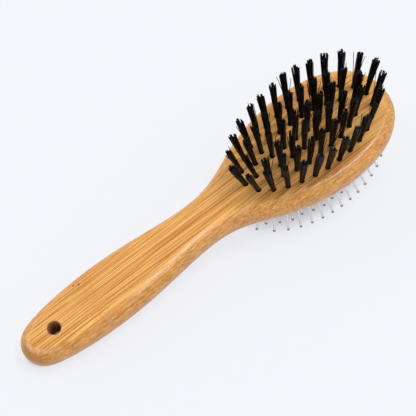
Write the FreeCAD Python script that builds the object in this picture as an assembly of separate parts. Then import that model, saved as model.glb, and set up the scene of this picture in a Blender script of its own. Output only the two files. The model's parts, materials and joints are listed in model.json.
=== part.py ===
import FreeCAD, Part
import math
import os

from FreeCAD import Matrix, Placement, Rotation, Vector

# Two-sided bamboo grooming brush: nylon tufts on one face, a sprung pad of
# ball-ended pins on the other. Every piece is drawn in the brush's own frame:
# X runs from the butt of the handle to the tip of the head, Y goes across and
# Z points out of the bristle face, with z = 0 in the middle of the board.
# At the end the whole brush is laid down as it rests on a table, on the butt
# of its handle and the tips of its pins. Lengths are in millimetres.

# Bamboo board
board_length = 225.0
board_thickness = 14.8
edge_radius = 6.0
# half width of the board at each distance from the butt
half_widths = [
    (3.5, 7.9),
    (14.0, 12.5),
    (35.0, 15.2),
    (62.0, 15.2),
    (92.0, 12.3),
    (118.0, 12.9),
    (142.0, 22.2),
    (165.0, 28.7),
    (190.0, 29.4),
    (210.0, 23.8),
    (221.0, 14.3),
]
face_z = board_thickness / 2

# Hole for hanging the brush up
hanging_hole_x = 18.4
hanging_hole_radius = 3.25
hanging_hole_bevel = 0.5

# Nylon tufts and the wire anchors that hold them in their drilled sockets
tuft_standing_height = 26.0
tuft_root_radius = 1.25
tuft_tip_radius = 1.9
socket_radius = 1.3
socket_depth = 5.2
anchor_width = 3.0
anchor_height = 1.8
anchor_thickness = 0.4
tuft_spread_centre_x = 178.0
tuft_spread_length = 40.0
tuft_spread_reach = 6.0
tuft_side_lean = 0.165
# each ring: first and last x, half width, extra width towards the tip, tufts
tuft_rings = {
    "outer": (134.7, 214.1, 19.6, 0.09, 26),
    "middle": (141.5, 205.6, 11.5, 0.0, 20),
}
centre_tuft_y = 3.4
centre_tuft_first_x = 154.7
centre_tuft_pitch = 7.66
centre_tufts_per_line = 6

# Oval recess for the pin pad, with a groove for the pad's lip
recess_centre_x = 174.0
recess_half_length = 45.0
recess_half_width = 26.4
recess_depth = 6.5
groove_depth = 1.2
groove_low_z = -5.2
groove_high_z = -3.0

# Rubber pad: a domed skin on a short wall, with a lip round its inner edge
pad_gap = 0.15
pad_wall = 2.2
pad_dome_height = 3.4
pad_dome_roundness = 6.0
pad_skin = 2.0
pad_inner_roundness = 20.0
vent_radius = 0.8
# this row, counted from 0, has no pin in the middle, where the vent is
vent_row = 6

# Pins: steel wires with a flat head behind the rubber and a ball on the end
pin_wire_radius = 0.5
pin_standing_length = 13.0
pin_head_radius = 1.1
pin_head_thickness = 0.5
pin_head_gap = 0.05
head_rim_points = 12
pin_hole_gap = 0.04
ball_radius = 0.75
pin_row_count = 14
pin_first_row_x = 135.1
pin_last_row_x = 204.0
pin_field_centre_x = 174.0
pin_field_half_length = 42.4
pin_field_half_width = 23.8
pin_target_pitch = 5.6
pin_lean_centre_x = 178.6
pin_lean_along = 0.0095
pin_lean_across = 0.030


# Shapes


def box_between(low, high):
    """Block between two corners."""
    size = high - low
    return Part.makeBox(size.x, size.y, size.z, low)


def oval_prism(half_length, half_width, low_z, high_z):
    """Upright oval block on the centre of the recess."""
    centre = Vector(recess_centre_x, 0, low_z)
    ellipse = Part.Ellipse(centre, half_length, half_width)
    face = Part.Face(Part.Wire(ellipse.toShape()))
    return face.extrude(Vector(0, 0, high_z - low_z))


def stretched_ball(half_length, half_width, height, roundness):
    """Ellipsoid whose cut at the pad face is the given oval and which reaches
    the given height below that face. Returns its centre and three radii."""
    centre_rise = roundness - height
    cut_share = math.sqrt(1 - (centre_rise / roundness) ** 2)
    centre = Vector(recess_centre_x, 0, -face_z + centre_rise)
    radii = Vector(half_length / cut_share, half_width / cut_share, roundness)
    return centre, radii


def dome_cap(centre, radii):
    """The part of an ellipsoid that stands out below the pad face."""
    stretch = Matrix()
    stretch.scale(radii)
    ball = Part.makeSphere(1.0).transformGeometry(stretch)
    ball.translate(centre)
    reach = 2 * board_length
    below = box_between(Vector(-reach, -reach, -reach), Vector(reach, reach, -face_z))
    return ball.common(below)


def distance_to_ball(point, direction, centre, radii):
    """Distance along a line from a point to the far side of an ellipsoid."""
    p = Vector(*[(point[i] - centre[i]) / radii[i] for i in range(3)])
    d = Vector(*[direction[i] / radii[i] for i in range(3)])
    a = d.dot(d)
    b = p.dot(d)
    c = p.dot(p) - 1
    return (-b + math.sqrt(b * b - a * c)) / a


pad_half_length = recess_half_length - pad_gap
pad_half_width = recess_half_width - pad_gap
outer_dome = stretched_ball(pad_half_length, pad_half_width, pad_dome_height, pad_dome_roundness)
inner_dome = stretched_ball(
    pad_half_length - pad_wall,
    pad_half_width - pad_wall,
    pad_dome_height - pad_skin,
    pad_inner_roundness,
)


# Where the tufts and pins stand


def tuft_direction(x, y):
    """Tufts lean outwards, more and more towards both ends of the head."""
    share = (x - tuft_spread_centre_x) / tuft_spread_length
    along = tuft_spread_reach * share * abs(share)
    across = tuft_side_lean * y
    up = math.sqrt(tuft_standing_height**2 - along**2 - across**2)
    return Vector(along, across, up).normalize()


def ring_points(first_x, last_x, half_width, fullness, count):
    """Evenly spaced points round an egg-shaped ring, wider towards the tip."""
    middle = (first_x + last_x) / 2
    reach = (last_x - first_x) / 2
    steps = 72
    egg = []
    for step in range(steps):
        angle = math.pi + 2 * math.pi * step / steps
        width = half_width * (1 + fullness * math.cos(angle))
        egg.append(Vector(middle + reach * math.cos(angle), width * math.sin(angle), face_z))
    curve = Part.BSplineCurve()
    curve.interpolate(Points=egg, PeriodicFlag=True)
    return curve.toShape().discretize(Number=count + 1)[:count]


def tuft_groups():
    """Foot of every tuft on the bristle face, by group."""
    groups = {name: ring_points(*ring) for name, ring in tuft_rings.items()}
    centre = []
    for side in (-1, 1):
        for step in range(centre_tufts_per_line):
            x = centre_tuft_first_x + step * centre_tuft_pitch
            centre.append(Vector(x, side * centre_tuft_y, face_z))
    groups["centre"] = centre
    return groups


def pins_in_row(row, half_width):
    """Even and odd counts alternate, so that the pins stand in quincunx."""
    odd_one = row % 2
    count = 2 * half_width / pin_target_pitch + 1
    return odd_one + 2 * round((count - odd_one) / 2)


def pin_rows():
    """Foot and direction of every pin, row by row, on the rubber's surface."""
    rows = []
    centre, radii = outer_dome
    for row in range(pin_row_count):
        share = row / (pin_row_count - 1)
        x = pin_first_row_x + share * (pin_last_row_x - pin_first_row_x)
        reach = (x - pin_field_centre_x) / pin_field_half_length
        half_width = pin_field_half_width * math.sqrt(1 - reach**2)
        count = pins_in_row(row, half_width)
        pins = []
        for step in range(count):
            y = half_width * (2 * step / (count - 1) - 1)
            off_centre = ((x - centre.x) / radii.x) ** 2 + (y / radii.y) ** 2
            foot = Vector(x, y, centre.z - radii.z * math.sqrt(1 - off_centre))
            lean_x = pin_lean_along * (x - pin_lean_centre_x)
            direction = Vector(lean_x, pin_lean_across * y, -1).normalize()
            pins.append((foot, direction))
        rows.append(pins)
    return rows


# Pieces


def board_outline():
    """Outline of the board, smooth all the way round and the same on both sides."""
    left = [Vector(x, half, 0) for x, half in half_widths]
    right = [Vector(x, -half, 0) for x, half in reversed(half_widths)]
    points = [Vector(0, 0, 0)] + left + [Vector(board_length, 0, 0)] + right
    curve = Part.BSplineCurve()
    curve.interpolate(Points=points, PeriodicFlag=True)
    return Part.Wire(curve.toShape())


def anchor(foot, direction):
    """Flat wire anchor driven across the bottom of a tuft's socket."""
    block = Part.makeBox(
        anchor_thickness,
        anchor_width,
        anchor_height,
        Vector(-anchor_thickness / 2, -anchor_width / 2, -socket_depth),
    )
    block.Placement = Placement(foot, Rotation(Vector(0, 0, 1), direction))
    return block


def tuft(foot, direction):
    """Bundle of filaments, folded round its anchor and flaring to a cut end."""
    bottom = foot - direction * socket_depth
    root = Part.makeCylinder(tuft_root_radius, socket_depth, bottom, direction)
    standing = Part.makeCone(
        tuft_root_radius, tuft_tip_radius, tuft_standing_height, foot, direction
    )
    return root.fuse(standing).removeSplitter().cut(anchor(foot, direction))


def socket(foot, direction):
    """Drilled socket for one tuft, run on a little above the face."""
    start = foot - direction * socket_depth
    return Part.makeCylinder(socket_radius, socket_depth + 1, start, direction)


def bamboo_body(tufts):
    """Board with rounded edges, hanging hole, tuft sockets and pad recess."""
    blank = Part.Face(board_outline()).extrude(Vector(0, 0, board_thickness))
    blank.translate(Vector(0, 0, -face_z))
    rims = [edge for edge in blank.Edges if abs(abs(edge.CenterOfMass.z) - face_z) < 0.01]
    body = blank.makeFillet(edge_radius, rims)

    hole_foot = Vector(hanging_hole_x, 0, -face_z)
    cuts = [Part.makeCylinder(hanging_hole_radius, board_thickness, hole_foot)]
    mouth_radius = hanging_hole_radius + hanging_hole_bevel
    for side in (-1, 1):
        mouth = Vector(hanging_hole_x, 0, side * face_z)
        inward = Vector(0, 0, -side)
        cuts.append(
            Part.makeCone(mouth_radius, hanging_hole_radius, hanging_hole_bevel, mouth, inward)
        )

    cuts.append(oval_prism(recess_half_length, recess_half_width, -face_z, -face_z + recess_depth))
    groove = recess_half_length + groove_depth, recess_half_width + groove_depth
    cuts.append(oval_prism(*groove, groove_low_z, groove_high_z))

    for foot, direction in tufts:
        cuts.append(socket(foot, direction))
        cuts.append(anchor(foot, direction))
    return body.cut(cuts)


def rubber_cushion(rows):
    """Domed rubber pad with its lip, one hole for each pin and an air vent."""
    wall_top = groove_high_z - pad_gap
    wall = oval_prism(pad_half_length, pad_half_width, -face_z, wall_top)
    lip_reach = groove_depth - 2 * pad_gap
    lip = oval_prism(
        recess_half_length + lip_reach,
        recess_half_width + lip_reach,
        groove_low_z + pad_gap,
        wall_top,
    )
    pad = dome_cap(*outer_dome).fuse([wall, lip])
    inside = oval_prism(
        pad_half_length - pad_wall, pad_half_width - pad_wall, -face_z, wall_top
    )
    holes = []
    for pins in rows:
        for foot, direction in pins:
            start = foot - direction * board_thickness / 2
            holes.append(
                Part.makeCylinder(
                    pin_wire_radius + pin_hole_gap, board_thickness, start, direction
                )
            )
    vent_foot = Vector(rows[vent_row][0][0].x, 0, -2 * board_thickness)
    holes.append(Part.makeCylinder(vent_radius, 2 * board_thickness, vent_foot))
    return pad.cut(inside).cut(dome_cap(*inner_dome)).cut(holes)


def pin_wire(foot, direction):
    """Steel wire from its flat head, clear of the rubber all round, to its ball."""
    inward = direction * -1
    sideways = direction.cross(Vector(0, 1, 0)).normalize() * pin_head_radius
    around = Rotation(direction, 360 / head_rim_points)
    rubber_depth = -distance_to_ball(foot, direction, *inner_dome)
    for _ in range(head_rim_points):
        depth = -distance_to_ball(foot + sideways, direction, *inner_dome)
        rubber_depth = max(rubber_depth, depth)
        sideways = around.multVec(sideways)
    skin = max(pad_skin, rubber_depth + pin_head_gap)
    head_foot = foot + inward * skin
    length = skin + pin_standing_length - ball_radius
    wire = Part.makeCylinder(pin_wire_radius, length, head_foot, direction)
    head = Part.makeCylinder(pin_head_radius, pin_head_thickness, head_foot, inward)
    return wire.fuse(head).removeSplitter()


def ball_centre(foot, direction):
    return foot + direction * (pin_standing_length - ball_radius)


def ball_tip(foot, direction):
    """Ball on the end of a pin, with the wire's end seated in it."""
    ball = Part.makeSphere(ball_radius, ball_centre(foot, direction))
    wire = Part.makeCylinder(
        pin_wire_radius, pin_standing_length - ball_radius, foot, direction
    )
    return ball.cut(wire)


# Resting place on a table


def resting_tilt(rows):
    """Angle of the line that touches the butt's rounded edge and the lowest ball."""
    butt = Vector(edge_radius, 0, edge_radius - face_z)
    best = 0
    for pins in rows:
        for foot, direction in pins:
            reach = ball_centre(foot, direction) - butt
            span = math.hypot(reach.x, reach.z)
            rise = math.asin((ball_radius - edge_radius) / span)
            best = max(best, rise - math.atan2(reach.z, reach.x))
    return best


def hinge_point(pins):
    """Middle of a row's rocking line, half way between its feet and half a skin in."""
    highest = max(foot.z for foot, direction in pins)
    lowest = min(foot.z for foot, direction in pins)
    return Vector(pins[0][0].x, 0, (highest + lowest) / 2 + pad_skin / 2)


def build_pieces():
    """Every node's shape in the brush's own frame."""
    groups = tuft_groups()
    rows = pin_rows()
    leaning = {
        name: [(foot, tuft_direction(foot.x, foot.y)) for foot in feet]
        for name, feet in groups.items()
    }
    every_tuft = [place for places in leaning.values() for place in places]
    pieces = {"bamboo_body": bamboo_body(every_tuft)}
    for name, places in leaning.items():
        pieces[f"{name}_tufts"] = Part.makeCompound([tuft(*place) for place in places])
        pieces[f"{name}_anchors"] = Part.makeCompound([anchor(*place) for place in places])
    pieces["rubber_cushion"] = rubber_cushion(rows)
    for number, pins in enumerate(rows, start=1):
        pieces[f"pin_row_{number:02d}"] = Part.makeCompound([pin_wire(*pin) for pin in pins])
        pieces[f"ball_tips_{number:02d}"] = Part.makeCompound([ball_tip(*pin) for pin in pins])
    return pieces, rows


def resting_place(pieces, rows):
    """Tilts the brush onto its pins, then puts the origin under its middle."""
    tilted = Placement(Vector(), Rotation(Vector(0, -1, 0), math.degrees(resting_tilt(rows))))
    whole = Part.makeCompound(list(pieces.values()))
    whole.Placement = tilted
    bounds = whole.optimalBoundingBox(False, False)
    middle = Vector(bounds.Center.x, bounds.Center.y, bounds.ZMin)
    return Placement(middle * -1, Rotation()).multiply(tilted)


pieces, rows = build_pieces()
placement = resting_place(pieces, rows)
os.makedirs("parts", exist_ok=True)
for name, shape in pieces.items():
    shape.Placement = placement.multiply(shape.Placement)
    shape.exportStep(os.path.join("parts", name + ".step"))
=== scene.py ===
import json
import math

import bmesh
import bpy
import numpy as np
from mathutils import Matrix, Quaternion, Vector
from mathutils.geometry import tessellate_polygon


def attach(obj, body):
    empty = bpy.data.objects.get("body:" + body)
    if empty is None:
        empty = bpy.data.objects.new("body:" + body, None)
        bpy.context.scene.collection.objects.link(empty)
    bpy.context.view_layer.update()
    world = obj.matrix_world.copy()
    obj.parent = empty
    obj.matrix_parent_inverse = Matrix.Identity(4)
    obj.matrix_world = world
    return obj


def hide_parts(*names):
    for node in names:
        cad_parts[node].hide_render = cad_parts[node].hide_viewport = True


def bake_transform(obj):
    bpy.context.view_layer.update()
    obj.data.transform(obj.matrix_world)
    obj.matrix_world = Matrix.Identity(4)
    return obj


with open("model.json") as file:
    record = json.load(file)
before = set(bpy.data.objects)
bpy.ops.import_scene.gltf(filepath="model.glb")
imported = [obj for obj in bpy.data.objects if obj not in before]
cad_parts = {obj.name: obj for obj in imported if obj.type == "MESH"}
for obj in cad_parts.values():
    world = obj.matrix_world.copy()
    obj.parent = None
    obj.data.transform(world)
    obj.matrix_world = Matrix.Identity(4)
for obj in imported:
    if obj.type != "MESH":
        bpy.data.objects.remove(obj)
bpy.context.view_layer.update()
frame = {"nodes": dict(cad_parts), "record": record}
record = frame["record"]
mm = 0.001

# The brush lies tilted, with its head up on the pins. Pieces are drawn in the board's own
# frame, in millimetres, and then laid down: x from the butt to the tip of the head, y across,
# z out of the bristle face with 0 in the middle of the board.
joints = {joint["name"]: joint for joint in record["behaviour"]["joints"]}
mounts = {mount["name"]: mount for mount in record["mounts"]}
boardUp = np.array(joints["cushion_sink"]["axis"], float)
boardUp /= np.linalg.norm(boardUp)
boardAcross = np.array([0.0, 1.0, 0.0])
boardAlong = np.cross(boardAcross, boardUp)
boardTilt = math.atan2(boardAlong[2], boardAlong[0])


def polygonMesh(name, points, faces, smoothAngle=40):
    # points in the board's frame, in mm, put down where the brush lies
    mesh = bpy.data.meshes.new(name)
    mesh.from_pydata(layDown(points).tolist(), [], faces)
    tidy = bmesh.new()
    tidy.from_mesh(mesh)
    bmesh.ops.recalc_face_normals(tidy, faces=tidy.faces)
    tidy.to_mesh(mesh)
    tidy.free()
    mesh.shade_smooth()
    mesh.set_sharp_from_angle(angle=math.radians(smoothAngle))
    piece = bpy.data.objects.new(name, mesh)
    bpy.context.scene.collection.objects.link(piece)
    return piece


def vertexValue(piece, name, values):
    attribute = piece.data.attributes.new(name, "FLOAT", "POINT")
    attribute.data.foreach_set("value", np.asarray(values, np.float32).ravel())


def gridFaces(rows, columns, start=0):
    # quads of a grid whose columns close on themselves; row r, column c is point start + r*columns + c
    r, c = np.meshgrid(np.arange(rows - 1), np.arange(columns), indexing="ij")
    here, beside = r * columns + c, r * columns + (c + 1) % columns
    quads = np.stack([here, beside, beside + columns, here + columns], -1)
    return (quads.reshape(-1, 4) + start).tolist()


board = {
    "length": 225.0,
    "thickness": 14.8,
    "edgeRadius": 6.0,
    # half width at each distance from the butt
    "halfWidths": [(3.5, 7.9), (14.0, 12.5), (35.0, 15.2), (62.0, 15.2), (92.0, 12.3), (118.0, 12.9),
                   (142.0, 22.2), (165.0, 28.7), (190.0, 29.4), (210.0, 23.8), (221.0, 14.3)],
    "outlineSteps": 480,
    "roundingSteps": 14,
    "holeX": 18.4,
    "holeRadius": 3.25,
    "holeBevel": 0.5,
    "bevelBreak": 0.3,      # share of the bevel where its slope changes, so that it looks round
    "darkBevel": 0.35,      # share of the bevel that is as dark as the bore
    "holeSteps": 56,
    "socketRadius": 1.42,
    "socketDepth": 2.5,
    "socketChamfer": (0.12, 0.15),      # its width and depth
    "socketSteps": 14,
    "recessCentreX": 174.0,
    "recessHalfLength": 45.0,
    "recessHalfWidth": 26.4,
    "recessDepth": 6.5,
    "recessSteps": 160,
    "recessBevel": 0.3,
    "recessRim": 0.25,      # flat left between the rounding and the recess where they meet
    "recessEdge": 0.2,      # how much the recess's walls take the look of the rounded edge
    "tolerance": 0.01,
}
faceZ = board["thickness"] / 2
holeMount = mounts["hanging_hole"]
boardOrigin = np.array(holeMount["pos_m"]) - board["holeX"] * mm * boardAlong


def layDown(points):
    # board frame in mm to the scene in metres: origin + x*along + y*across + z*up
    points = np.asarray(points, float) * mm
    return boardOrigin + points @ np.array([boardAlong, boardAcross, boardUp])


def closedSpline(points, count, perSpan=40):
    # smooth closed curve through the points: each span is a cubic whose bending matches its
    # neighbours', with the chord lengths as its parameter; evenly spaced along its length
    points = np.asarray(points, float)
    following = np.roll(points, -1, axis=0)
    chord = np.linalg.norm(following - points, axis=1)
    before = np.roll(chord, 1)
    slope = (following - points) / chord[:, None]
    size = len(points)
    system = np.diag(2 * (before + chord))
    rows = np.arange(size)
    system[rows, (rows - 1) % size] += before
    system[rows, (rows + 1) % size] += chord
    bending = np.linalg.solve(system, 6 * (slope - np.roll(slope, 1, axis=0)))
    share = np.linspace(0, 1, perSpan, endpoint=False)[None, :, None]
    span = chord[:, None, None]
    bendHere, bendNext = bending[:, None], np.roll(bending, -1, axis=0)[:, None]
    curve = (points[:, None] * (1 - share) + following[:, None] * share
             + span**2 / 6 * (((1 - share) ** 3 - (1 - share)) * bendHere
                              + (share**3 - share) * bendNext)).reshape(-1, 2)
    return evenly(curve, count)


def evenly(curve, count):
    # points at equal steps along a closed line
    closed = np.vstack([curve, curve[:1]])
    along = np.concatenate([[0], np.cumsum(np.linalg.norm(np.diff(closed, axis=0), axis=1))])
    wanted = np.linspace(0, along[-1], count, endpoint=False)
    return np.stack([np.interp(wanted, along, closed[:, axis]) for axis in (0, 1)], -1)


def tubeFaces(count, rows, sides, start=0):
    # walls and both ends of many tubes whose points follow each other
    starts = start + np.arange(count)[:, None, None] * rows * sides
    walls = (np.array(gridFaces(rows, sides))[None] + starts).reshape(-1, 4)
    rim = np.arange(sides)
    ends = np.concatenate([starts[:, 0] + rim, starts[:, 0] + rim + (rows - 1) * sides])
    return walls.tolist() + ends.tolist()


def oval(centreX, halfLength, halfWidth, count):
    angle = np.linspace(0, 2 * np.pi, count, endpoint=False)
    return np.stack([centreX + halfLength * np.cos(angle), halfWidth * np.sin(angle)], -1)


def flatCap(rings):
    # triangles that fill the flat between an outer ring and the rings of its holes
    return tessellate_polygon([[Vector((x, y, 0)) for x, y in ring] for ring in rings])


def ringStack(outline, insets, heights):
    # the outline moved inwards by each inset along its own normal, at each height; both may
    # also change from point to point
    ahead = np.roll(outline, -1, axis=0) - np.roll(outline, 1, axis=0)
    ahead /= np.linalg.norm(ahead, axis=1)[:, None]
    inward = np.stack([-ahead[:, 1], ahead[:, 0]], -1)
    if np.sum((outline.mean(0) - outline) * inward) < 0:
        inward = -inward
    insets, heights = [np.stack([np.broadcast_to(row, len(outline)) for row in rows]).astype(float)
                       for rows in (insets, heights)]
    rings = outline[None] + insets[:, :, None] * inward[None]
    return np.concatenate([rings, heights[:, :, None]], -1)


def spacing(ring, other):
    # how far each point of a ring is from the nearest point of another
    return np.linalg.norm(ring[:, None] - other[None], axis=-1).min(1)


def boardPiece(tuftFeet):
    # The rim is the outline carried round a profile: a quarter circle, a straight side and a
    # quarter circle. Both flats are filled between the rim and the holes in them. Where the
    # recess cuts into the lower rounding, the quarter circle ends just outside it.
    side = board["halfWidths"]
    corners = [(0, 0)] + side + [(board["length"], 0)] + [(x, -half) for x, half in reversed(side)]
    outline = closedSpline(corners, board["outlineSteps"])
    turn = np.linspace(0, np.pi / 2, board["roundingSteps"])
    radius = board["edgeRadius"]
    straight = faceZ - radius       # half the height of the straight side
    recess = oval(board["recessCentreX"], board["recessHalfLength"], board["recessHalfWidth"],
                  board["recessSteps"])
    # how far in the lower rounding may come at each point, and the turn that it ends with there
    room = spacing(outline, recess) - board["recessBevel"] - board["recessRim"]
    least = np.arcsin(np.clip(1 - room / radius, 0, 1))
    lowTurn = least + np.outer(turn[::-1] / turn[-1], np.pi / 2 - least)
    turns = np.concatenate([np.broadcast_to(turn[:, None], lowTurn.shape), lowTurn])
    above = np.where(np.arange(len(turns)) < len(turn), 1, -1)[:, None]
    heights = above * (straight + radius * np.cos(turns))
    rim = ringStack(outline, radius * (1 - np.sin(turns)), heights)
    rowCount, columnCount = rim.shape[:2]
    points = [rim.reshape(-1, 3)]
    faces = gridFaces(rowCount, columnCount)
    values = [np.sin(turns).ravel()]
    total = rowCount * columnCount

    def addStack(ring, insets, heights, value):
        # walls of a hole: its ring moved in or out, from the first height to the last
        nonlocal total
        stack = ringStack(ring, insets, heights)
        points.append(stack.reshape(-1, 3))
        faces.extend(gridFaces(len(insets), len(ring), total))
        values.append(np.full(len(insets) * len(ring), value))
        first = total + np.arange(len(ring))
        last = first + (len(insets) - 1) * len(ring)
        total += len(insets) * len(ring)
        return first, last

    holeRadius, bevel = board["holeRadius"], board["holeBevel"]
    step = bevel * board["bevelBreak"]
    mouth = oval(board["holeX"], holeRadius, holeRadius, board["holeSteps"])
    holeTop, holeLow = addStack(
        mouth, [-bevel, -step, 0, 0, -step, -bevel],
        [faceZ, faceZ - step, faceZ - bevel, bevel - faceZ, step - faceZ, -faceZ], 0)

    socketRadius = board["socketRadius"]
    chamferWidth, chamferDepth = board["socketChamfer"]
    socketHeights = [faceZ, faceZ - chamferDepth, faceZ - board["socketDepth"]]
    sockets = []
    for foot in tuftFeet:
        ring = oval(foot[0], socketRadius, socketRadius, board["socketSteps"]) + [0, foot[1]]
        first, last = addStack(ring, [-chamferWidth, 0, 0], socketHeights, 0)
        faces.append(last.tolist())
        sockets.append(first)

    # height of the lower rounding where the recess's rim meets it
    recessBevel = board["recessBevel"]
    share = np.clip(1 - (spacing(recess, outline) - recessBevel) / radius, 0, 1)
    rimZ = -straight - radius * np.sqrt(1 - share * share)
    floorZ = board["recessDepth"] - faceZ
    recessRim, recessEnd = addStack(recess, [-recessBevel, 0, 0], [rimZ, rimZ + recessBevel, floorZ],
                                    board["recessEdge"])
    faces.append(recessEnd.tolist())

    points = np.concatenate(points)
    topRings = [np.arange(columnCount), holeTop] + sockets
    lowRings = [np.arange(columnCount) + (rowCount - 1) * columnCount, holeLow, recessRim]
    for rings in (topRings, lowRings):
        flat = np.concatenate(rings)
        cap = flatCap([points[ring][:, :2] for ring in rings])
        faces.extend(flat[list(triangle)].tolist() for triangle in cap)
    piece = polygonMesh("bamboo_board", points, faces)
    vertexValue(piece, "edgeShare", np.concatenate(values))
    # the bore is dark, with the inner part of its upper bevel and the whole of its lower one
    reach = np.hypot(points[:, 0] - board["holeX"], points[:, 1])
    darkAbove = reach < holeRadius + bevel * board["darkBevel"]
    darkBelow = (reach < holeRadius + bevel + board["tolerance"]) & (points[:, 2] < 0)
    vertexValue(piece, "boreShare", darkAbove | darkBelow)
    return piece


tufts = {
    # first and last x, half width, extra width towards the tip, number of tufts
    "rings": {"outer": (134.7, 214.1, 19.6, 0.09, 26), "middle": (141.5, 205.6, 11.5, 0.0, 20)},
    "ringSteps": 2000,      # fine steps that the equal ones are measured on
    "centreY": 3.4,
    "centreFirstX": 154.7,
    "centrePitch": 7.66,
    "centrePerLine": 6,
    "height": 26.0,
    "spreadCentreX": 178.0,
    "spreadLength": 40.0,
    "spreadReach": 6.0,
    "sideLean": 0.165,
    "rootRadius": 1.02,
    "footBulge": 0.24,
    "bulgeHeight": 1.6,
    "tipRadius": 2.18,
    "tipSpread": (0.88, 1.12),
    "flareRate": 1.25,
    "flareJitter": 0.1,
    "filaments": 66,
    "filamentRadius": 0.165,
    "sides": 5,
    "segments": 6,
    "startDepth": 2.0,      # how far into the socket the visible filaments reach
    "clumps": 5,
    "clumpPlace": 0.66,
    "clumpSpread": (0.8, 1.15),
    "clumpTurnJitter": 0.2,
    "middleClump": 0.2,     # the first clump's distance from the middle, as a share of the others'
    "clumpTightness": 0.60,
    # how much longer a clump or a filament may be, from and to, as shares of the next value
    "clumpLengths": (-1, 0.2),
    "clumpSteps": 0.9,
    "filamentLengths": (-1, 0.4),
    "cutUnevenness": 0.5,
    "overLength": 0.15,     # the most that any filament passes the tuft's height
    "cutSlope": 0.45,
    "bow": 0.2,
    "leanJitter": 0.45,
    "strayShare": 0.03,
    "strayReach": 3.4,
    "strayFrom": 0.3,       # the least of that reach
    "strayShortening": 4,
    # the solid middle of a tuft, as shares of its height, its width and its tip's width
    "heartReach": 0.8,
    "heartWidth": 0.70,
    "heartFlare": 0.8,
    "heartTaper": [1, 1, 1, 0.9, 0.25],     # from the socket up
    "heartSides": 10,
    "fullTurn": 6.28,       # radians
    "smoothAngle": 60,
    "seed": 7,
}


def ringFeet(firstX, lastX, halfWidth, fullness, count):
    # egg-shaped ring: an oval whose width grows towards the tip, tufts at equal steps round it
    angle = np.pi + np.linspace(0, 2 * np.pi, tufts["ringSteps"], endpoint=False)
    x = (firstX + lastX) / 2 + (lastX - firstX) / 2 * np.cos(angle)
    y = halfWidth * (1 + fullness * np.cos(angle)) * np.sin(angle)
    return evenly(np.stack([x, y], -1), count)


def tuftFeetByGroup():
    feet = {name: ringFeet(*ring) for name, ring in tufts["rings"].items()}
    steps = tufts["centreFirstX"] + tufts["centrePitch"] * np.arange(tufts["centrePerLine"])
    x, y = np.meshgrid(steps, [-tufts["centreY"], tufts["centreY"]])
    feet["centre"] = np.stack([x.ravel(), y.ravel()], -1)
    return feet


def tuftAxes(feet):
    # a tuft leans away from the middle of the head, by the square of its distance along it
    share = (feet[:, 0] - tufts["spreadCentreX"]) / tufts["spreadLength"]
    along = tufts["spreadReach"] * share * np.abs(share)
    across = tufts["sideLean"] * feet[:, 1]
    up = np.sqrt(tufts["height"] ** 2 - along**2 - across**2)
    return np.stack([along, across, up], -1) / tufts["height"]


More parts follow.
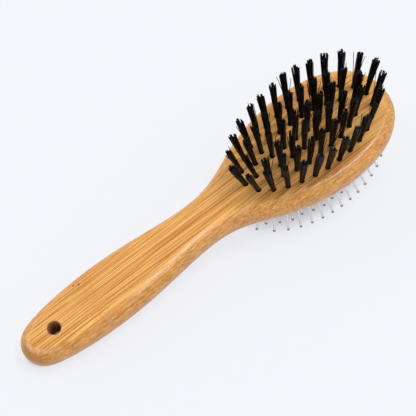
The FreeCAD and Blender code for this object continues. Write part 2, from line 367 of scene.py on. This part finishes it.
def tuftPiece(name, feet, random):
    # Every filament is a thin tube: a round ring carried along a line that starts packed in the
    # socket and fans out to the cut end. Arrays run over tuft, filament, step and side.
    count, each = len(feet), tufts["filaments"]
    tall, deep, fullTurn = tufts["height"], tufts["startDepth"], tufts["fullTurn"]
    axes = tuftAxes(feet)
    axes += random.normal(0, tufts["leanJitter"] / tall, axes.shape)
    axes /= np.linalg.norm(axes, axis=1)[:, None]
    sideways = np.cross(axes, [0.0, 1.0, 0.0])
    sideways /= np.linalg.norm(sideways, axis=1)[:, None]
    other = np.cross(axes, sideways)

    # sunflower packing in the socket
    order = np.arange(each) + 0.5
    turn = order * math.pi * (3 - math.sqrt(5)) + random.uniform(0, fullTurn, (count, 1))
    reach = np.sqrt(order / each) * np.ones((count, 1))
    packed = np.stack([reach * np.cos(turn), reach * np.sin(turn)], -1)

    # towards the cut end they gather in clumps: one in the middle and the rest round it
    clumpTurn = np.arange(tufts["clumps"]) * fullTurn / tufts["clumps"]
    clumpTurn = random.uniform(0, fullTurn, (count, 1)) + clumpTurn
    clumpTurn += random.normal(0, tufts["clumpTurnJitter"], clumpTurn.shape)
    clumpRadius = tufts["clumpPlace"] * random.uniform(*tufts["clumpSpread"], clumpTurn.shape)
    clumpRadius[:, 0] *= tufts["middleClump"]
    centres = np.stack([clumpRadius * np.cos(clumpTurn), clumpRadius * np.sin(clumpTurn)], -1)
    apart = np.linalg.norm(packed[:, :, None] - centres[:, None], axis=-1)
    nearest = apart.argmin(-1)
    tuftIndex = np.arange(count)[:, None]
    centre = centres[tuftIndex, nearest]
    width = random.uniform(*tufts["tipSpread"], (count, 1, 1)) * tufts["tipRadius"]
    flare = (centre + (packed - centre) * tufts["clumpTightness"]) * width
    flare += random.normal(0, tufts["flareJitter"], flare.shape)
    stray = random.random((count, each)) < tufts["strayShare"]
    strayTurn = random.uniform(0, fullTurn, (count, each))
    strayWay = np.stack([np.cos(strayTurn), np.sin(strayTurn)], -1)
    strayAmount = random.uniform(tufts["strayFrom"], 1, (count, each, 1))
    flare += stray[..., None] * strayWay * strayAmount * tufts["strayReach"]

    # the cut is a slanted plane, with each clump a little longer or shorter
    slant = random.normal(0, tufts["cutSlope"], (count, 1, 2))
    clumpLength = random.uniform(*tufts["clumpLengths"], (count, tufts["clumps"])) * tufts["clumpSteps"]
    length = tall + np.sum(slant * packed, -1) + clumpLength[tuftIndex, nearest]
    length += random.uniform(*tufts["filamentLengths"], (count, each)) * tufts["cutUnevenness"]
    length -= stray * random.uniform(0, tufts["strayShortening"], (count, each))
    length = np.minimum(length, tall + tufts["overLength"])

    # each filament's line: from its packed place to its flared one, with a slight bow in between
    step = np.linspace(0, 1, tufts["segments"] + 1)
    rise = -deep + step * (length[..., None] + deep)
    opening = np.clip(rise / tall, 0, 1)[..., None] ** tufts["flareRate"]
    bulge = 1 + tufts["footBulge"] * np.exp(-((rise[..., None] / tufts["bulgeHeight"]) ** 2))
    bow = random.normal(0, tufts["bow"], (count, each, 1, 2)) * (step * (1 - step))[:, None] * 4
    offset = packed[:, :, None] * tufts["rootRadius"] * bulge * (1 - opening)
    offset += flare[:, :, None] * opening + bow

    around = np.linspace(0, 2 * np.pi, tufts["sides"], endpoint=False)
    ring = tufts["filamentRadius"] * np.stack([np.cos(around), np.sin(around)], -1)
    flat = offset[:, :, :, None] + ring
    feet3 = np.column_stack([feet, np.full(count, faceZ)])
    shape = (count, 1, 1, 1, 3)
    points = (feet3.reshape(shape) + axes.reshape(shape) * rise[..., None, None]
              + sideways.reshape(shape) * flat[..., :1] + other.reshape(shape) * flat[..., 1:])

    faces = tubeFaces(count * each, tufts["segments"] + 1, tufts["sides"])
    tone = np.broadcast_to(random.random((count, each, 1, 1)), points.shape[:-1]).ravel()
    height = np.broadcast_to(step[None, None, :, None], points.shape[:-1]).ravel()

    # the solid middle of each tuft, where filaments hide each other: a tapered rod in one tube
    heartStep = np.linspace(0, tufts["heartReach"], len(tufts["heartTaper"]))
    heartRise = -deep + heartStep * (tall + deep)
    heartOpening = np.clip(heartRise / tall, 0, 1) ** tufts["flareRate"]
    heartWidth = tufts["rootRadius"] * (1 - heartOpening)
    heartWidth += tufts["tipRadius"] * heartOpening * tufts["heartFlare"]
    heartWidth = heartWidth * tufts["heartWidth"] * np.array(tufts["heartTaper"])
    around = np.linspace(0, 2 * np.pi, tufts["heartSides"], endpoint=False)
    across = np.stack([np.cos(around), np.sin(around)], -1) * heartWidth[:, None, None]
    shape = (count, 1, 1, 3)
    heart = (feet3.reshape(shape) + axes.reshape(shape) * heartRise[:, None, None]
             + sideways.reshape(shape) * across[..., :1] + other.reshape(shape) * across[..., 1:])
    heartFaces = tubeFaces(count, len(heartStep), tufts["heartSides"], len(tone))
    heartValue = np.zeros(heart.size // 3)
    points = np.concatenate([points.reshape(-1, 3), heart.reshape(-1, 3)])
    piece = polygonMesh(name, points, faces + heartFaces, tufts["smoothAngle"])
    vertexValue(piece, "filamentTone", np.concatenate([tone, heartValue]))
    vertexValue(piece, "filamentHeight", np.concatenate([height, heartValue]))
    return piece


pad = {
    "gap": 0.15,
    "wall": 2.2,
    "wallMiddle": -5.0,     # z of a ring part way up the wall
    "top": -3.15,           # z of the wall's upper edge, inside the board
    "domeHeight": 3.4,
    "domeRoundness": 6.0,
    "skin": 2.0,
    "rimStart": 0.972,      # share of the oval where the dome starts to roll in to meet the wood
    "rimRoll": 0.35,
    "centreFlat": 0.004,    # share of the oval that the flat in the very middle covers
    "ringSteps": 420,
    "domeSteps": 110,
    "insideSteps": 24,
    "collarHeight": 0.45,
    "collarReach": 1.15,
    "collarSteepness": 1.2,
    "ventReach": 0.75,
    "ventDepth": 1.1,
    "ventRow": 6,
    # a point at the pad's rim and one at its crown: how deep in the recess the first is, and
    # how far short of the dome's top the second starts
    "rimDepth": 0.4,
    "crownShort": 0.6,
    "smoothAngle": 50,
}
pins = {
    "rows": 14,
    "firstRowX": 135.1,
    "lastRowX": 204.0,
    "centreX": 174.0,
    "halfLength": 42.4,
    "halfWidth": 23.8,
    "targetPitch": 5.6,
}


def pinFeet():
    # rows across the pad, evenly spaced in each, with even and odd counts in turn
    feet = []
    for row, x in enumerate(np.linspace(pins["firstRowX"], pins["lastRowX"], pins["rows"])):
        along = (x - pins["centreX"]) / pins["halfLength"]
        halfWidth = pins["halfWidth"] * math.sqrt(1 - along**2)
        oddOne = row % 2
        count = oddOne + 2 * round((2 * halfWidth / pins["targetPitch"] + 1 - oddOne) / 2)
        y = np.linspace(-halfWidth, halfWidth, count)
        feet.append(np.stack([np.full(count, x), y], -1))
    return feet


def padPiece():
    # An oval carried through a profile of (share of the oval, height): the dome from its middle
    # to the rim, up the wall, over its edge and back down inside. The dome is a cap of an
    # ellipse and its inside a parabola. Each pin lifts a bell-shaped collar, and the vent is a
    # round pit.
    halfLength = board["recessHalfLength"] - pad["gap"]
    halfWidth = board["recessHalfWidth"] - pad["gap"]
    centreRise = pad["domeRoundness"] - pad["domeHeight"]
    cut = math.sqrt(1 - (centreRise / pad["domeRoundness"]) ** 2)
    share = np.linspace(pad["centreFlat"], 1, pad["domeSteps"])
    dome = centreRise - faceZ - pad["domeRoundness"] * np.sqrt(1 - (share * cut) ** 2)
    edge = np.clip((share - pad["rimStart"]) / (1 - pad["rimStart"]), 0, 1)
    dome += pad["rimRoll"] * edge**2
    inner = 1 - pad["wall"] / halfWidth
    insideShare = np.linspace(inner, pad["centreFlat"], pad["insideSteps"])
    inside = -faceZ - (pad["domeHeight"] - pad["skin"]) * (1 - (insideShare / inner) ** 2)
    shares = np.concatenate([share, [1, 1, inner, inner], insideShare])
    wall = [pad["wallMiddle"], pad["top"], pad["top"], pad["wallMiddle"]]
    heights = np.concatenate([dome, wall, inside])
    angle = np.linspace(0, 2 * np.pi, pad["ringSteps"], endpoint=False)
    x = board["recessCentreX"] + halfLength * shares[:, None] * np.cos(angle)
    y = halfWidth * shares[:, None] * np.sin(angle)
    z = np.repeat(heights[:, None], len(angle), 1)

    feet = pinFeet()
    domeX, domeY = x[: pad["domeSteps"]], y[: pad["domeSteps"]]
    lift = np.zeros_like(domeX)
    for footX, footY in np.concatenate(feet):
        away = np.hypot(domeX - footX, domeY - footY) / pad["collarReach"]
        lift = np.maximum(lift, pad["collarHeight"] * np.exp(-(away**2) * pad["collarSteepness"]))
    away = np.hypot(domeX - feet[pad["ventRow"]][0][0], domeY) / pad["ventReach"]
    lift -= pad["ventDepth"] * np.exp(-(away**4))
    z[: pad["domeSteps"]] -= lift

    points = np.stack([x, y, z], -1).reshape(-1, 3)
    rows = len(shares)
    faces = gridFaces(rows, len(angle))
    first = np.arange(len(angle))
    faces += [first.tolist(), (first + (rows - 1) * len(angle)).tolist()]
    return polygonMesh("rubber_pad", points, faces, pad["smoothAngle"])


class Value:
    # a number that varies over the surface; its operators add Math nodes
    def __init__(self, finish, socket):
        self.finish, self.socket = finish, socket

    def maths(self, operation, *terms):
        return self.finish.node("ShaderNodeMath", {"operation": operation}, dict(enumerate(terms)))

    def __add__(self, other):
        return self.maths("ADD", self, other)

    def __sub__(self, other):
        return self.maths("SUBTRACT", self, other)

    def __rsub__(self, other):
        return self.maths("SUBTRACT", other, self)

    def __mul__(self, other):
        return self.maths("MULTIPLY", self, other)

    __radd__ = __add__
    __rmul__ = __mul__


class Finish:
    # a material and its nodes
    def __init__(self, name):
        self.material = bpy.data.materials.new(name)
        self.material.use_nodes = True
        self.tree = self.material.node_tree
        self.tree.nodes.clear()
        self.surface = self.tree.nodes.new("ShaderNodeOutputMaterial").inputs["Surface"]

    def node(self, kind, settings=None, sockets=None, out=0):
        # adds a node: first its settings, then the values or links of its sockets
        new = self.tree.nodes.new(kind)
        for name, value in (settings or {}).items():
            if name == "stops":
                self.setStops(new.color_ramp, value)
            else:
                setattr(new, name, value)
        for name, value in (sockets or {}).items():
            if isinstance(value, Value):
                self.tree.links.new(value.socket, new.inputs[name])
            else:
                new.inputs[name].default_value = value
        return Value(self, new.outputs[out])

    def setStops(self, ramp, stops):
        while len(ramp.elements) < len(stops):
            ramp.elements.new(1)
        for element, (place, tone) in zip(ramp.elements, stops):
            element.position = place
            element.color = (tone, tone, tone, 1) if isinstance(tone, (int, float)) else (*tone, 1)

    def boardPlace(self):
        # the board's own directions in mm, so that patterns follow the grain
        place = self.node("ShaderNodeTexCoord", out="Object")
        moved = self.node("ShaderNodeVectorMath", {"operation": "SUBTRACT"},
                          {0: place, 1: tuple(boardOrigin)})
        return self.node("ShaderNodeMapping", {"vector_type": "POINT"},
                         {"Vector": moved, "Rotation": (0, boardTilt, 0), "Scale": (1 / mm,) * 3})

    def noise(self, place, size, detail=2, roughness=0.5, distortion=0.0):
        # soft random values, as long along each direction as size says, in the place's unit
        scaled = self.node("ShaderNodeMapping", {"vector_type": "POINT"},
                           {"Vector": place, "Scale": tuple(1 / length for length in size)})
        return self.node("ShaderNodeTexNoise", {"noise_dimensions": "3D"},
                         {"Vector": scaled, "Scale": 1, "Detail": detail, "Roughness": roughness,
                          "Distortion": distortion})

    def ramp(self, value, stops):
        return self.node("ShaderNodeValToRGB", {"stops": stops}, {"Fac": value})

    def attribute(self, name):
        return self.node("ShaderNodeAttribute", {"attribute_name": name}, out="Fac")

    def mix(self, share, first, second):
        # the first colour where share is 0, the second where it is 1; sockets 6 and 7 of the
        # node are its two colours
        colours = {6: self.colour(first), 7: self.colour(second)}
        return self.node("ShaderNodeMix", {"data_type": "RGBA"}, {0: share, **colours}, out=2)

    def colour(self, value):
        return value if isinstance(value, Value) else (*value, 1)

    def bump(self, height, strength, distance):
        return self.node("ShaderNodeBump", None,
                         {"Height": height, "Strength": strength, "Distance": distance}, out="Normal")

    def shader(self, sockets):
        bsdf = self.node("ShaderNodeBsdfPrincipled", None, sockets)
        self.tree.links.new(bsdf.socket, self.surface)
        return self.material


bamboo = {
    "pale": (0.82, 0.450, 0.118),
    "honey": (0.66, 0.300, 0.050),
    "amber": (0.54, 0.210, 0.028),
    "streak": (0.30, 0.078, 0.007),
    "edgeTan": (0.564, 0.263, 0.068),
    "edgePale": (0.790, 0.461, 0.179),
    "edgeFleck": (0.34, 0.120, 0.024),
    # painted highlight: the colour of the lacquer's sheen on the near rim
    "sheenColour": (0.80, 0.54, 0.34),
    "pore": (0.060, 0.026, 0.011),
    "bore": (0.34, 0.145, 0.070),
    "coat": 0.40,
    "coatRoughness": 0.20,
    "shine": 0.30,
    "roughness": 0.38,
    "fibreRoughness": 0.16,
    "boreRoughness": 0.5,
    "bump": (0.2, 0.0005),      # strength, and height in m
    "fibreBump": 0.5,
    "fleckBump": 1.5,
    # a knuckle of the cane: a zone across the grain, with two pores
    "knuckleX": 40.5,
    "knuckleWidth": 7.0,
    "pores": [(37.7, 11.6, 6.9), (40.1, 10.2, 7.3)],
    "poreRadius": 0.62,
    "bandWidth": 20.0,          # a band along the middle; near and far stops are shares of it
    "buttShadeReach": 14.0,          # painted shade: the rounded butt end is darker over this length
    "sheenReach": 125.0,       # from the butt, the length that the painted highlight's stops are shares of
    # size along, across and through the board in mm, detail, roughness and distortion
    "noises": {
        "strips": ((400, 3.0, 9), 2, 0.5),
        "broad": ((70, 0.52, 0.8), 1, 0.5),
        "fine": ((30, 0.30, 0.45), 1, 0.5),
        "speckle": ((1.6, 0.8, 0.8), 2, 0.6),
        "fleck": ((3.6, 0.95, 0.95), 2, 0.65, 0.7),
        "cloud": ((12, 5, 5), 2),
    },
    "stripTones": [(0.34, "amber"), (0.48, "honey"), (0.66, "pale")],
    # how much of each mask there is at each value of what it follows
    "stops": {
        "nearStrip": [(0.12, 0.0), (0.24, 1.0), (0.36, 1.0), (0.50, 0.0)],
        "farStrips": [(0.55, 0.0), (0.85, 1.0)],
        "broadDark": [(0.42, 1.0), (0.51, 0.0)],
        "broadPale": [(0.51, 0.0), (0.60, 1.0)],
        "fineDark": [(0.39, 1.0), (0.49, 0.0)],
        "finePale": [(0.53, 0.0), (0.63, 1.0)],
        "offKnuckle": [(0.0, 0.0), (1.0, 1.0)],
        "speckle": [(0.44, 0.5), (0.56, 0.0)],
        "pore": [(0.6, 0.9), (1.0, 0.0)],
        "edge": [(0.12, 0.0), (0.5, 1.0)],
        "nearSide": [(0.55, 1.0), (0.85, 0.35)],
        "cloud": [(0.38, 0.0), (0.62, 1.0)],
        "darkFleck": [(0.37, 0.6), (0.49, 0.0)],
        "paleFleck": [(0.52, 0.0), (0.63, 0.6)],
        "butt": [(0.1, 0.75), (1.0, 0.0)],
        # painted highlight: where the sheen lies on the rounding, along the board and across it, and
        # its flecks
        "rimBand": [(0.08, 0.0), (0.24, 1.0), (0.40, 1.0), (0.58, 0.0)],
        "rubbedAlong": [(0.01, 0.55), (0.06, 0.50), (0.13, 0.0), (0.38, 0.0), (0.52, 0.45),
                        (0.78, 0.55), (0.92, 0.0)],
        "rubbedNear": [(0.45, 1.0), (0.75, 0.0)],
        "grit": [(0.44, 0.45), (0.56, 1.0)],
    },
    # how strongly a mask covers the tone under it
    "strengths": {"nearStrip": 0.45, "farStrips": 0.35, "broadDark": 0.50, "broadPale": 0.7,
                  "fineDark": 0.55, "finePale": 0.6, "edgeLines": 0.3, "edge": 0.85, "bore": 0.93},
}


def bambooMaterial():
    finish = Finish("lacqueredBamboo")
    place = finish.boardPlace()
    strengths = bamboo["strengths"]

    def noise(name):
        return finish.noise(place, *bamboo["noises"][name])

    def mask(name, value):
        return finish.ramp(value, bamboo["stops"][name])

    # the strips the board is glued from: broad tones that run its whole length
    stripTones = [(value, bamboo[tone]) for value, tone in bamboo["stripTones"]]
    tone = finish.ramp(noise("strips"), stripTones)
    # the strips on the near half came out darker, those on the far half paler
    across = finish.node("ShaderNodeSeparateXYZ", None, {"Vector": place}, out="Y")
    overWidth = 0.5 + across * (1 / bamboo["bandWidth"])
    nearStrip = mask("nearStrip", overWidth) * strengths["nearStrip"]
    tone = finish.mix(nearStrip, tone, bamboo["amber"])
    farStrips = mask("farStrips", overWidth) * strengths["farStrips"]
    tone = finish.mix(farStrips, tone, bamboo["pale"])
    # fibres: finer lines, dark and pale, in two sizes
    broad = noise("broad")
    fine = noise("fine")
    broadDark = mask("broadDark", broad)
    broadPale = mask("broadPale", broad) * strengths["broadPale"]
    fineDark = mask("fineDark", fine) * strengths["fineDark"]
    finePale = mask("finePale", fine) * strengths["finePale"]
    colour = finish.mix(broadDark * strengths["broadDark"], tone, bamboo["streak"])
    colour = finish.mix(broadPale, colour, bamboo["pale"])
    colour = finish.mix(fineDark, colour, bamboo["streak"])
    colour = finish.mix(finePale, colour, bamboo["pale"])
    # the knuckle breaks the lines up and has a few pores
    along = finish.node("ShaderNodeSeparateXYZ", None, {"Vector": place}, out="X")
    fromKnuckle = (along - bamboo["knuckleX"]) * (1 / bamboo["knuckleWidth"])
    knuckle = 1 - mask("offKnuckle", fromKnuckle * fromKnuckle)
    colour = finish.mix(knuckle * mask("speckle", noise("speckle")), colour, bamboo["amber"])
    for centre in bamboo["pores"]:
        away = finish.node("ShaderNodeVectorMath", {"operation": "DISTANCE"},
                           {0: place, 1: centre}, out="Value")
        inPore = mask("pore", away * (1 / bamboo["poreRadius"]))
        colour = finish.mix(inPore, colour, bamboo["pore"])
    # the rounded edge cuts the fibres, so they show as short flecks
    edge = finish.attribute("edgeShare")
    edgeMask = mask("edge", edge) * mask("nearSide", overWidth)
    fleck = noise("fleck")
    edgeTone = finish.mix(mask("cloud", noise("cloud")), bamboo["edgeTan"], bamboo["honey"])
    edgeTone = finish.mix(mask("darkFleck", fleck), edgeTone, bamboo["edgeFleck"])
    edgeTone = finish.mix(mask("paleFleck", fleck), edgeTone, bamboo["edgePale"])
    edgeTone = finish.mix(broadDark * strengths["edgeLines"], edgeTone, bamboo["streak"])
    # painted shade: the rounded butt end's edge is darkened towards the dark fleck colour
    butt = mask("butt", along * (1 / bamboo["buttShadeReach"]))
    edgeTone = finish.mix(butt, edgeTone, bamboo["edgeFleck"])
    colour = finish.mix(edgeMask * strengths["edge"], colour, edgeTone)
    # painted highlight: the near rim is painted pale in flecks, round the butt and beside the waist,
    # for the lacquer's sheen
    paintedSheen = mask("rubbedAlong", along * (1 / bamboo["sheenReach"])) * mask("rubbedNear", overWidth)
    paintedSheen = mask("rimBand", edge) * paintedSheen * mask("grit", fleck)
    colour = finish.mix(paintedSheen, colour, bamboo["sheenColour"])
    # the drilled hole is dark, raw end grain
    bore = finish.attribute("boreShare")
    colour = finish.mix(bore * strengths["bore"], colour, bamboo["bore"])
    height = (broad * bamboo["fibreBump"] + fine * bamboo["fibreBump"]
              + edgeMask * fleck * bamboo["fleckBump"])
    roughness = bamboo["roughness"] + bamboo["fibreRoughness"] * fine + bamboo["boreRoughness"] * bore
    return finish.shader({
        "Base Color": colour, "Roughness": roughness, "Coat Weight": bamboo["coat"] * (1 - bore),
        "Coat Roughness": bamboo["coatRoughness"], "Specular IOR Level": bamboo["shine"],
        "Normal": finish.bump(height, *bamboo["bump"])})


nylon = {
    "deep": (0.0018, 0.0021, 0.0028),
    "light": (0.016, 0.0180, 0.0215),
    "worn": (0.016, 0.0155, 0.016),
    "glossyTones": [(0.5, 0.0), (0.92, 1.0)],       # the palest filaments are the glossiest
    "wornHeights": [(0.93, 0.0), (1.0, 1.0)],
    "wornStrength": 0.35,
    "roughness": 0.34,
    "glossyDrop": 0.12,
    "ior": 1.17,
    "sheenTint": (0.66, 0.84, 1.0),
}


def nylonMaterial():
    finish = Finish("blackNylon")
    tone = finish.attribute("filamentTone")
    height = finish.attribute("filamentHeight")
    glossy = finish.ramp(tone, nylon["glossyTones"])
    colour = finish.mix(glossy, nylon["deep"], nylon["light"])
    worn = finish.ramp(height, nylon["wornHeights"])
    colour = finish.mix(worn * nylon["wornStrength"], colour, nylon["worn"])
    return finish.shader({
        "Base Color": colour, "Roughness": nylon["roughness"] - nylon["glossyDrop"] * glossy,
        "IOR": nylon["ior"], "Specular Tint": (*nylon["sheenTint"], 1)})


metals = {
    "pinSteel": {"light": (0.84, 0.81, 0.76), "dark": (0.64, 0.615, 0.58), "edge": (0.30, 0.29, 0.28),
                 "roughness": 0.12},
    "anchorSteel": {"light": (0.60, 0.59, 0.57), "dark": (0.42, 0.41, 0.40), "edge": (0.5, 0.5, 0.5),
                    "roughness": 0.38},
}
wirePattern = {
    "marks": ((0.12, 0.12, 2.4), 2),        # size in mm, detail
    "blotches": ((3, 3, 3), 2),
    "markRoughness": 0.14,
}


def metalMaterial(name):
    # drawn wire: fine marks that run along it
    metal = metals[name]
    finish = Finish(name)
    place = finish.boardPlace()
    marks = finish.noise(place, *wirePattern["marks"])
    blotches = finish.noise(place, *wirePattern["blotches"])
    return finish.shader({
        "Base Color": finish.mix(blotches, metal["dark"], metal["light"]), "Metallic": 1.0,
        "Specular Tint": (*metal["edge"], 1),
        "Roughness": metal["roughness"] + wirePattern["markRoughness"] * marks})


greyBall = {
    "grey": (0.19, 0.175, 0.16),
    "pale": (0.32, 0.30, 0.27),
    "cloud": ((0.8, 0.8, 0.8), 3),      # size in mm, detail
    "roughness": 0.26,
    "cloudRoughness": 0.16,
}


# the ball tips are an even grey with paler clouds
def ballMaterial():
    finish = Finish("greyBall")
    cloud = finish.noise(finish.boardPlace(), *greyBall["cloud"])
    return finish.shader({
        "Base Color": finish.mix(cloud, greyBall["grey"], greyBall["pale"]),
        "Roughness": greyBall["roughness"] + greyBall["cloudRoughness"] * cloud})


rubber = {
    "black": (0.018, 0.018, 0.020),
    "dusty": (0.045, 0.044, 0.044),
    "cloud": ((9, 9, 9), 3),        # size in mm, detail
    "grain": ((0.35, 0.35, 0.35), 2),
    "dustStops": [(0.4, 0.0), (0.75, 1.0)],
    "roughness": 0.46,
    "cloudRoughness": 0.2,
    "bump": (0.15, 0.0002),
}


def rubberMaterial():
    finish = Finish("padRubber")
    place = finish.boardPlace()
    cloud = finish.noise(place, *rubber["cloud"])
    grain = finish.noise(place, *rubber["grain"])
    dust = finish.ramp(cloud, rubber["dustStops"])
    return finish.shader({
        "Base Color": finish.mix(dust, rubber["black"], rubber["dusty"]),
        "Roughness": rubber["roughness"] + rubber["cloudRoughness"] * cloud,
        "Normal": finish.bump(grain, *rubber["bump"])})


def paint(piece, material):
    piece.data.materials.clear()
    piece.data.materials.append(material)


studio = {
    "floorColour": (0.14, 0.142, 0.147),
    "floorRoughness": 0.9,
    "floorShine": 0.1,
    "floorGlow": (0.727, 0.739, 0.780),     # a light table, so that shadows stay faint
    # painted shadow: right under the brush the table's glow is dimmed: (centre x, half length,
    # half width) in m, and the shares of them where the painted shadow ends and the full glow starts
    "shaded": [((-0.0935, 0.020, 0.011), (0.6, 0.95)), ((0.060, 0.050, 0.029), (0.40, 0.95))],
    "shadedGlow": 0.12,
    "floorSize": 6.0,
    "floorCells": 24,
    "rollStart": 1.6,
    "floorRise": 0.7,
    "skyColour": (1.0, 0.965, 0.93),
    "skyStrength": 0.70,
    # name: place, size, power, colour; each looks at the brush
    "lamps": {
        "rearPanel": ((-0.60, 0.85, 0.95), 0.8, 3.3, (1.0, 0.985, 0.95)),
        "topPanel": ((0.40, -0.10, 1.30), 0.46, 9.0, (1.0, 0.985, 0.955)),
    },
}
view = {        # angles in degrees, the lens in mm, the rest in m
    "azimuth": -39.87,
    "elevation": 60.36,
    "roll": 1.60,
    "distance": 0.5437,
    "lens": 94.86,
    "clipStart": 0.01,
    "target": (0.0017, 0.0048, 0.0190),
}


def floorPiece():
    # a wide sheet, flat in the middle; past the roll's start its height grows with the square
    # of the distance, so that low views see it instead of a horizon
    cells = studio["floorCells"]
    steps = np.linspace(-0.5, 0.5, cells + 1) * studio["floorSize"]
    x, y = np.meshgrid(steps, steps)
    z = studio["floorRise"] * np.clip(np.hypot(x, y) - studio["rollStart"], 0, None) ** 2
    points = np.stack([x, y, z], -1).reshape(-1, 3)
    r, c = np.meshgrid(np.arange(cells), np.arange(cells), indexing="ij")
    corner = (r * (cells + 1) + c).reshape(-1, 1)
    mesh = bpy.data.meshes.new("studio_floor")
    mesh.from_pydata(points.tolist(), [], (corner + [0, 1, cells + 2, cells + 1]).tolist())
    floor = bpy.data.objects.new("studio_floor", mesh)
    bpy.context.scene.collection.objects.link(floor)
    finish = Finish("paleFloor")
    place = finish.node("ShaderNodeTexCoord", out="Object")
    glow = 1
    # painted shadow: each oval dims the table's glow under the brush
    for (centreX, halfLength, halfWidth), (dark, bright) in studio["shaded"]:
        local = finish.node("ShaderNodeMapping", {"vector_type": "TEXTURE"}, {
            "Vector": place, "Location": (centreX, 0, 0), "Scale": (halfLength, halfWidth, 1)})
        reach = finish.node("ShaderNodeVectorMath", {"operation": "LENGTH"}, {0: local}, out="Value")
        glow = glow * finish.ramp(reach, [(dark, studio["shadedGlow"]), (bright, 1.0)])
    paint(floor, finish.shader({
        "Base Color": (*studio["floorColour"], 1), "Roughness": studio["floorRoughness"],
        "Specular IOR Level": studio["floorShine"],
        "Emission Color": finish.mix(glow, (0, 0, 0), studio["floorGlow"]), "Emission Strength": 1.0}))


def lights():
    world = bpy.data.worlds.new("studio")
    world.use_nodes = True
    sky = world.node_tree.nodes["Background"]
    sky.inputs["Color"].default_value = (*studio["skyColour"], 1)
    sky.inputs["Strength"].default_value = studio["skyStrength"]
    bpy.context.scene.world = world
    for name, (place, size, power, colour) in studio["lamps"].items():
        lamp = bpy.data.lights.new(name, "AREA")
        lamp.size = size
        lamp.energy = power
        lamp.color = colour
        holder = bpy.data.objects.new(name, lamp)
        holder.location = place
        holder.rotation_mode = "QUATERNION"
        holder.rotation_quaternion = (Vector(view["target"]) - Vector(place)).to_track_quat("-Z", "Y")
        bpy.context.scene.collection.objects.link(holder)


def camera():
    azimuth, elevation = math.radians(view["azimuth"]), math.radians(view["elevation"])
    back = Vector((math.sin(azimuth) * math.cos(elevation),
                   -math.cos(azimuth) * math.cos(elevation), math.sin(elevation)))
    lens = bpy.data.cameras.new("camera")
    lens.lens = view["lens"]
    lens.clip_start = view["clipStart"]
    holder = bpy.data.objects.new("camera", lens)
    holder.location = Vector(view["target"]) + back * view["distance"]
    holder.rotation_mode = "QUATERNION"
    roll = Quaternion((0, 0, 1), math.radians(view["roll"]))
    holder.rotation_quaternion = (-back).to_track_quat("-Z", "Y") @ roll
    bpy.context.scene.collection.objects.link(holder)
    bpy.context.scene.camera = holder


random = np.random.default_rng(tufts["seed"])
feetByGroup = tuftFeetByGroup()
boardObject = boardPiece(np.concatenate(list(feetByGroup.values())))
paint(boardObject, bambooMaterial())
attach(boardObject, "board")
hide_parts("bamboo_body")
print("board made")

nylonFinish = nylonMaterial()
for group, feet in feetByGroup.items():
    tuftObject = tuftPiece(f"{group}_bristles", feet, random)
    paint(tuftObject, nylonFinish)
    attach(tuftObject, "board")
    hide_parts(f"{group}_tufts")
print("tufts made")

padObject = padPiece()
paint(padObject, rubberMaterial())
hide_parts("rubber_cushion")
# a point at the pad's rim and one at its crown, put down where the brush lies
padRim = layDown([board["recessCentreX"], 0, pad["rimDepth"] - faceZ])
padCrown = layDown([board["recessCentreX"], 0, pad["crownShort"] - faceZ - pad["domeHeight"]])
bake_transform(padObject)
print("pad made")

pinFinish = metalMaterial("pinSteel")
ballFinish = ballMaterial()
anchorFinish = metalMaterial("anchorSteel")
for name, node in frame["nodes"].items():
    if name.startswith("pin_row"):
        paint(node, pinFinish)
    elif name.startswith("ball_tips"):
        paint(node, ballFinish)
    elif name.endswith("_anchors"):
        paint(node, anchorFinish)
print("wires painted")

floorPiece()
lights()
camera()
bpy.context.scene.view_settings.view_transform = "Standard"
print("studio set")
